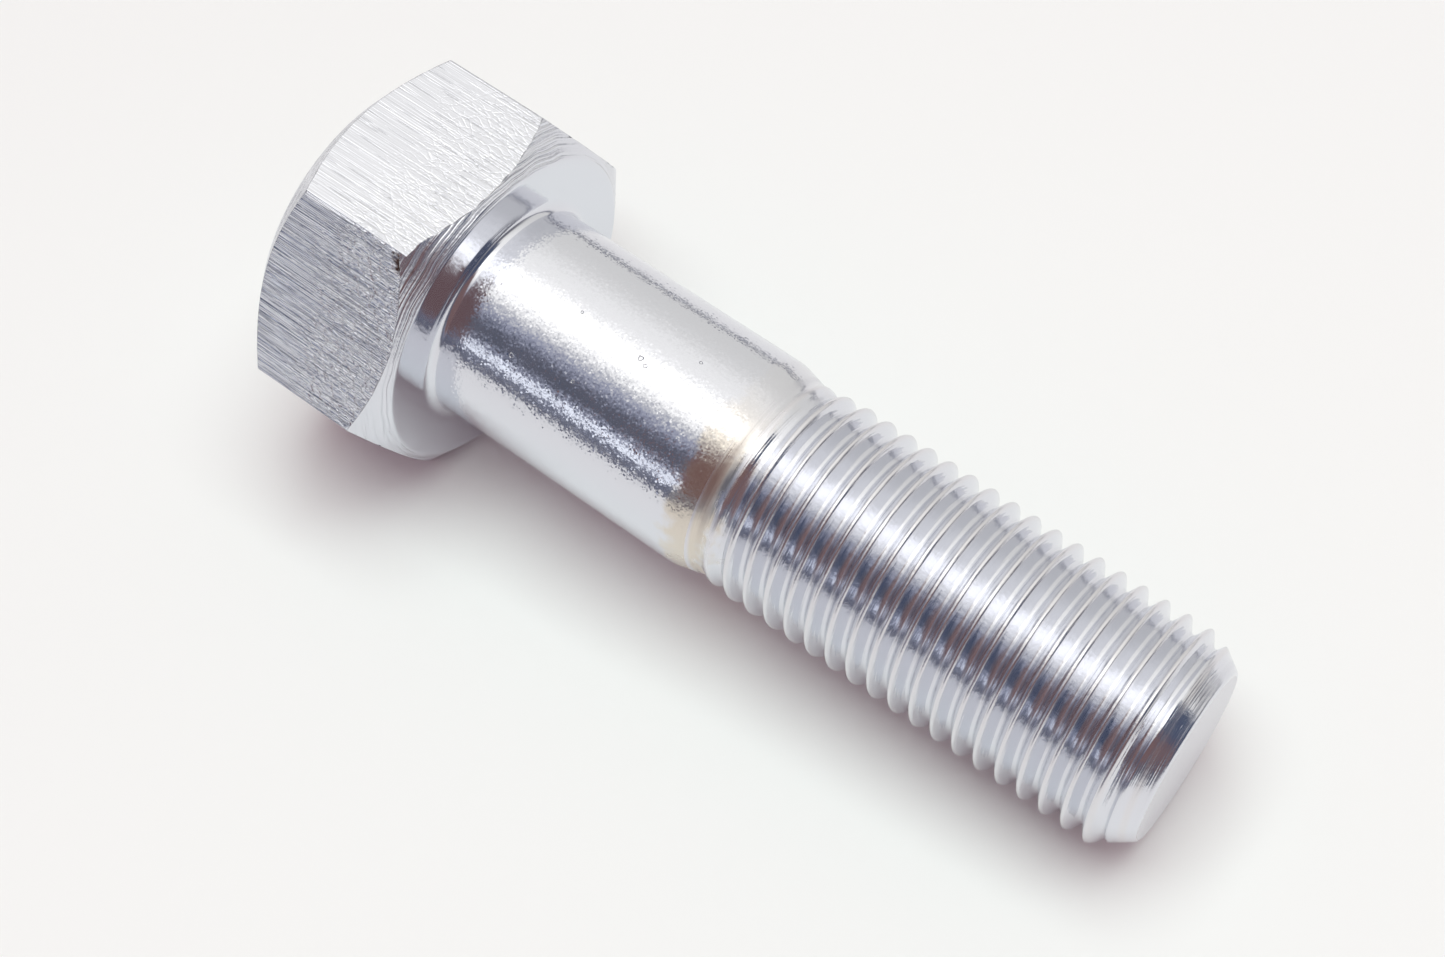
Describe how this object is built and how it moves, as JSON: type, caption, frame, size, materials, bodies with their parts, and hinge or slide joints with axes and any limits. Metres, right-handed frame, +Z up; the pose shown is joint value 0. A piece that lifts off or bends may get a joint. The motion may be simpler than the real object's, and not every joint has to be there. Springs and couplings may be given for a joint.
{
  "type": "footrest bolt",
  "caption": "Steel hexagon-head bolt with a plain shank and a fine thread, for fastening a footrest to its bracket; zinc plated.",
  "frame": {"origin": "on the surface that the bolt lies on, under the middle of its box", "axes": "+Z up; +X from the head to the tip, level, so the bolt's own axis dips 4.9 degrees below it; +Y across two of the head's corners"},
  "size_m": [0.0526, 0.0216, 0.0193],
  "materials": {
    "zinc_plate": "satin"
  },
  "bodies": {
    "root": {"bolt": "zinc_plate"}
  },
  "joints": []
}
